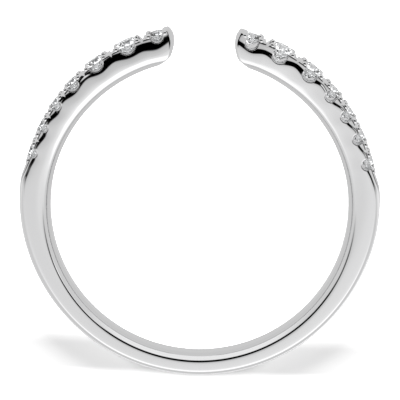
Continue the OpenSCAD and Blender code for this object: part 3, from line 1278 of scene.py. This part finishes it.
@dataclass(frozen=True)
class Room:
    """The light that the polished metal mirrors, as a smooth pattern over the sky.

    Places are given by X and Y of the ray's direction, by its distance from straight up, and by
    the cosine of its bearing from X.

    Attributes:
        sweep: Brightness along Y, from the lower to the upper side of the picture.
        right_from: Where the sweep begins to be brighter at the right, and is so in full, along X.
        right_more: How much brighter it is there.
        flag_left: Bearing where the black flag ends at the left.
        flag_right: Bearing where it ends at the right.
        soft: Softness of those ends.
        flag_near: How far from straight up it reaches over the whole width.
        near_edge: Where that part begins, along Y.
        flag_far: How far from straight up it reaches between its ends.
        flag_short: How far it reaches near its right end.
        short_from: Bearing where that shorter part begins.
        far_soft: Softness of its far edge.
        far_edge: Where it begins between its ends, along Y.
        bend: How far the flag's lower edge drops towards both sides, per unit of X.
        bend_from: Where that drop begins.
        bend_edge: Where the flag begins and is whole, along Y with the drop.
        beyond: Brightness beside the flag.
        beyond_edge: Where that light begins and is whole, along Y.
        white_left: Where the white sheet at the lower side ends at the left, along X.
        white_right: Where it ends at the right.
        white_soft: Softness of its ends.
        beside_white: Brightness beside the white sheet.
        horizon: Brightness near the horizon.
        horizon_far: Brightness near the horizon behind the flag.
        horizon_edge: Where that begins and is whole, along Y.
        horizon_from: Where the horizon's light begins and is whole, from the flag's far edge.
        gem_light: Brightness that the stones gather from the room.
        on_table: Share of the room's light that falls on the table.
        least_out: The least distance from straight up at which a bearing is taken.
    """

    sweep: Pairs = (
        (-1.0, 1.25), (-0.46, 1.25), (-0.38, 1.10), (-0.31, 0.86), (-0.20, 0.77), (-0.12, 0.64),
        (0.0, 0.55), (0.10, 0.47), (0.19, 0.38), (0.29, 0.0), (1.0, 0.0),
    )
    right_from: tuple[float, float] = (-0.06, 0.08)
    right_more: float = 0.10
    flag_left: float = -0.98
    flag_right: float = 0.98
    soft: float = 0.06
    flag_near: float = 0.68
    near_edge: tuple[float, float] = (-0.22, 0.0)
    flag_far: float = 0.88
    flag_short: float = 0.76
    short_from: float = 0.70
    far_soft: float = 0.03
    far_edge: tuple[float, float] = (-0.12, -0.02)
    bend: float = 1.2
    bend_from: float = 0.15
    bend_edge: tuple[float, float] = (0.02, 0.16)
    beyond: float = 0.95
    beyond_edge: tuple[float, float] = (0.05, 0.2)
    white_left: float = -0.35
    white_right: float = 0.60
    white_soft: float = 0.1
    beside_white: float = 0.78
    horizon: float = 0.70
    horizon_far: float = 0.95
    horizon_edge: tuple[float, float] = (0.5, 0.85)
    horizon_from: tuple[float, float] = (-0.03, 0.04)
    gem_light: float = 2.4
    on_table: float = 0.45
    least_out: float = 0.01

    def sheet_light(self, wiring: Wiring, x: Socket, y: Socket) -> Socket:
        """The sweep of light over the ring, no wider at its brightest than the white sheet.

        Args:
            wiring: The world's nodes.
            x: The direction's X.
            y: The direction's Y.

        Returns:
            The brightness.
        """
        ramp = wiring.add("ShaderNodeValToRGB")
        ramp.color_ramp.interpolation = "EASE"
        stops = ramp.color_ramp.elements
        while len(stops) > 1:
            stops.remove(stops[0])
        brightest = max(light for _, light in self.sweep)
        for number, (where, light) in enumerate(self.sweep):
            position = (where + 1) / 2
            stop = stops.new(position) if number else stops[0]
            stop.position = position
            stop.color = (light / brightest,) * 3 + (1,)
        wiring.feed(ramp.inputs["Fac"], wiring.times(wiring.plus(y, 1.0), 0.5))
        more = wiring.times(wiring.step(x, *self.right_from), self.right_more)
        sweep = wiring.times(wiring.times(ramp.outputs["Color"], brightest), wiring.plus(more, 1.0))
        sheet = wiring.times(
            wiring.step(x, self.white_left - self.white_soft, self.white_left + self.white_soft),
            wiring.step(x, self.white_right + self.white_soft, self.white_right - self.white_soft),
        )
        most = wiring.plus(self.beside_white, wiring.times(sheet, brightest - self.beside_white))
        return wiring.calc("MINIMUM", sweep, most)

    def flag(self, wiring: Wiring, x: Socket, y: Socket, out: Socket) -> Socket:
        """The black flag above the ring.

        Args:
            wiring: The world's nodes.
            x: The direction's X.
            y: The direction's Y.
            out: The direction's distance from straight up.

        Returns:
            1 inside the flag, 0 beside it.
        """
        bearing = wiring.calc("DIVIDE", x, wiring.calc("MAXIMUM", out, self.least_out))
        width = wiring.times(
            wiring.step(bearing, self.flag_left - self.soft, self.flag_left + self.soft),
            wiring.step(bearing, self.flag_right + self.soft, self.flag_right - self.soft),
        )
        near = wiring.step(out, self.flag_near + self.soft, self.flag_near - self.soft)
        near = wiring.times(near, wiring.step(y, *self.near_edge))
        at_right = wiring.step(bearing, self.short_from - self.soft, self.short_from + self.soft)
        whole = wiring.step(out, self.flag_far + self.far_soft, self.flag_far - self.far_soft)
        short = wiring.step(out, self.flag_short + self.far_soft, self.flag_short - self.far_soft)
        far = wiring.minus(whole, wiring.times(at_right, wiring.minus(whole, short)))
        far = wiring.times(wiring.times(width, far), wiring.step(y, *self.far_edge))
        return wiring.calc("MAXIMUM", far, near)

    def build(self) -> bpy.types.World:
        """Makes the world that lights the scene."""
        world = bpy.data.worlds.new("studio")
        world.use_nodes = True
        wiring = Wiring(world.node_tree)
        x, y = wiring.axes(wiring.add("ShaderNodeTexCoord").outputs["Generated"])
        out = wiring.calc("SQRT", wiring.plus(wiring.times(x, x), wiring.times(y, y)))
        flag = self.flag(wiring, x, y, out)
        beyond = wiring.times(wiring.step(y, *self.beyond_edge), wiring.minus(1.0, flag))
        light = wiring.plus(self.sheet_light(wiring, x, y), wiring.times(beyond, self.beyond))
        drop = wiring.calc("MAXIMUM", wiring.minus(wiring.calc("ABSOLUTE", x), self.bend_from), 0.0)
        bent = wiring.plus(y, wiring.times(drop, self.bend))
        cover = wiring.times(flag, wiring.step(bent, *self.bend_edge))
        light = wiring.times(light, wiring.minus(1.0, cover))
        low = wiring.step(out, *(self.flag_far + edge for edge in self.horizon_from))
        far = wiring.times(wiring.step(y, *self.horizon_edge), self.horizon_far - self.horizon)
        light = wiring.blend(light, wiring.plus(far, self.horizon), low)
        path = wiring.add("ShaderNodeLightPath")
        light = wiring.blend(light, self.gem_light, path.outputs["Is Transmission Ray"])
        less = wiring.times(path.outputs["Is Diffuse Ray"], 1 - self.on_table)
        light = wiring.times(light, wiring.minus(1.0, less))
        back = world.node_tree.nodes["Background"]
        back.inputs["Color"].default_value = (1, 1, 1, 1)
        wiring.feed(back.inputs["Strength"], light)
        return world


@dataclass
class Studio:
    """White table, soft boxes, the room's light and the camera of the photograph.

    Lengths are in millimetres where nothing else is said.

    Attributes:
        floor_z: Height of the table.
        table_size: Width of the table, in metres.
        table_colour: Its colour.
        table_rough: Its roughness.
        table_shine: Its shine.
        mirrored_table_glow: Brightness of the painted reflection of the table, a glowing sheet that the
            metal and the stones mirror in its place.
        mirror_sheet_gap: How far under the table the glowing sheet of that painted reflection lies.
        glow_y: Where the painted glow in the table's material goes from none to full, along Y.
        glow_below: The same under the ring.
        glow_r: The same from the middle.
        lamp_at: Place of the right soft box, in metres.
        lamp_size: Its width, in metres.
        lamp_power: Its power, in watts.
        pixel: Width of a pixel at the ring.
        picture: Width of the picture, in pixels.
        centre_px: The picture's middle from the ring's, in pixels to the right and up.
        tilt: Turn of the camera from the finger axis, in degrees.
        roll: Its turn about its own axis, in degrees.
        distance: Its distance.
        sensor: Width of its sensor.
        clip: The nearest and farthest that it sees, in metres.
    """

    floor_z: float = -1.06
    table_size: float = 1.6
    table_colour: tuple[float, float, float, float] = (0.92, 0.92, 0.92, 1)
    table_rough: float = 0.7
    table_shine: float = 0.1
    mirrored_table_glow: float = 0.66
    mirror_sheet_gap: float = 0.02
    glow_y: tuple[float, float] = (-8.8, -6.8)
    glow_below: tuple[float, float] = (-10.0, -10.9)
    glow_r: tuple[float, float] = (9.9, 9.3)
    lamp_at: tuple[float, float, float] = (0.22, 0.12, 0.17)
    lamp_size: float = 0.12
    lamp_power: float = 0.88
    pixel: float = 0.0582
    picture: int = 400
    centre_px: tuple[float, float] = (0.3, 6.06)
    tilt: float = 11.4
    roll: float = 1.8
    distance: float = 206.0
    sensor: float = 36.0
    clip: tuple[float, float] = (0.01, 10.0)

    def sheet(self, name: str, height: float) -> bpy.types.Object:
        """Lays a flat sheet as wide as the table.

        Args:
            name: Its name.
            height: Its height, in millimetres.

        Returns:
            The sheet.
        """
        bpy.ops.mesh.primitive_plane_add(size=self.table_size, location=(0, 0, height * MM))
        return new_piece(name)

    def floor(self) -> None:
        """Lays a white table under the ring, and under it a glowing sheet that paints the table's
        reflection in the ring.
        """
        obj = self.sheet("table_top", self.floor_z)
        material, shader = surface("white_table")
        shader.inputs["Base Color"].default_value = self.table_colour
        shader.inputs["Roughness"].default_value = self.table_rough
        shader.inputs["Specular IOR Level"].default_value = self.table_shine
        self.paint_table_glow(Wiring(material.node_tree), shader)
        obj.data.materials.append(material)
        # The table stays out of the mirrors; a painted reflection of it, a glowing sheet seen only by
        # mirrors and the stones, takes its place
        obj.visible_glossy = False
        obj.visible_transmission = False
        mirror_sheet = self.sheet("mirrored_table_glow", self.floor_z - self.mirror_sheet_gap)
        mirror_sheet.data.materials.append(self.mirrored_glow_material())
        mirror_sheet.visible_camera = False
        mirror_sheet.visible_diffuse = False
        mirror_sheet.visible_shadow = False

    def mirrored_glow_material(self) -> bpy.types.Material:
        """Makes the even glow of the sheet that paints the table's reflection.

        Returns:
            The material.
        """
        material = bpy.data.materials.new("mirrored_table_glow")
        material.use_nodes = True
        material.node_tree.nodes.clear()
        wiring = Wiring(material.node_tree)
        glow = wiring.add("ShaderNodeEmission")
        glow.inputs["Strength"].default_value = self.mirrored_table_glow
        wiring.feed(wiring.add("ShaderNodeOutputMaterial").inputs["Surface"], glow.outputs["Emission"])
        return material

    def paint_table_glow(self, wiring: Wiring, shader: bpy.types.Node) -> None:
        """Paints light into the table: its material glows inside the ring and above its lower part, which
        washes out the lamps' shadows there.

        Args:
            wiring: The table's nodes.
            shader: Its Principled BSDF.
        """
        place = wiring.add("ShaderNodeTexCoord").outputs["Object"]
        length = wiring.add("ShaderNodeVectorMath")
        length.operation = "LENGTH"
        wiring.feed(length.inputs[0], place)
        y = wiring.axes(place)[1]
        # Painted light: a glow set by place on the table, which no lamp casts
        glow = 0.0
        edges = ((y, self.glow_y), (y, self.glow_below), (length.outputs["Value"], self.glow_r))
        for value, (dark, bright) in edges:
            glow = wiring.calc("MAXIMUM", wiring.step(value, dark * MM, bright * MM), glow)
        wiring.feed(shader.inputs["Emission Strength"], glow)
        shader.inputs["Emission Color"].default_value = (1, 1, 1, 1)

    def lamps(self) -> None:
        """Hangs a soft light beyond each upper corner of the picture."""
        for side in Side:
            place = Vector((side.value * self.lamp_at[0], self.lamp_at[1], self.lamp_at[2]))
            turn = place.to_track_quat("Z", "Y").to_euler()
            bpy.ops.object.light_add(type="AREA", location=place, rotation=turn)
            lamp = bpy.context.object
            lamp.name = f"soft_box_{side.name.lower()}"
            lamp.data.size = self.lamp_size
            lamp.data.energy = self.lamp_power
            lamp.visible_glossy = False
            lamp.visible_transmission = False
            lamp.visible_camera = False

    def camera(self) -> None:
        """Places the camera as the photograph's."""
        tilt = math.radians(self.tilt)
        back = Vector((0, math.sin(tilt), math.cos(tilt)))
        up = Vector((0, math.cos(tilt), -math.sin(tilt)))
        aim = up * self.centre_px[1] * self.pixel + Vector((self.centre_px[0] * self.pixel, 0, 0))
        turn = Matrix((up.cross(back), up, back)).transposed().to_4x4()
        data = bpy.data.cameras.new("photo_camera")
        data.sensor_width = self.sensor
        data.lens = self.sensor * self.distance / (self.picture * self.pixel)
        data.clip_start, data.clip_end = self.clip
        camera = bpy.data.objects.new("photo_camera", data)
        bpy.context.collection.objects.link(camera)
        place = Matrix.Translation((aim + back * self.distance) * MM)
        camera.matrix_world = place @ turn @ Matrix.Rotation(math.radians(self.roll), 4, "Z")
        bpy.context.scene.camera = camera

    def build(self) -> None:
        """Sets the table, the lamps, the room and the camera."""
        self.floor()
        self.lamps()
        bpy.context.scene.world = Room().build()
        self.camera()
        bpy.context.scene.view_settings.view_transform = "Standard"


def main() -> None:
    """Builds the ring and its studio in order."""
    logging.basicConfig(level=logging.INFO, format="%(relativeCreated)d ms: %(message)s", force=True)
    profile = Profile()
    metal = PolishedMetal().build()
    gem = CutDiamond().build()
    Band(profile).build(metal)
    Brilliants(profile).build(gem)
    Studio().build()


if __name__ == "__main__":
    main()
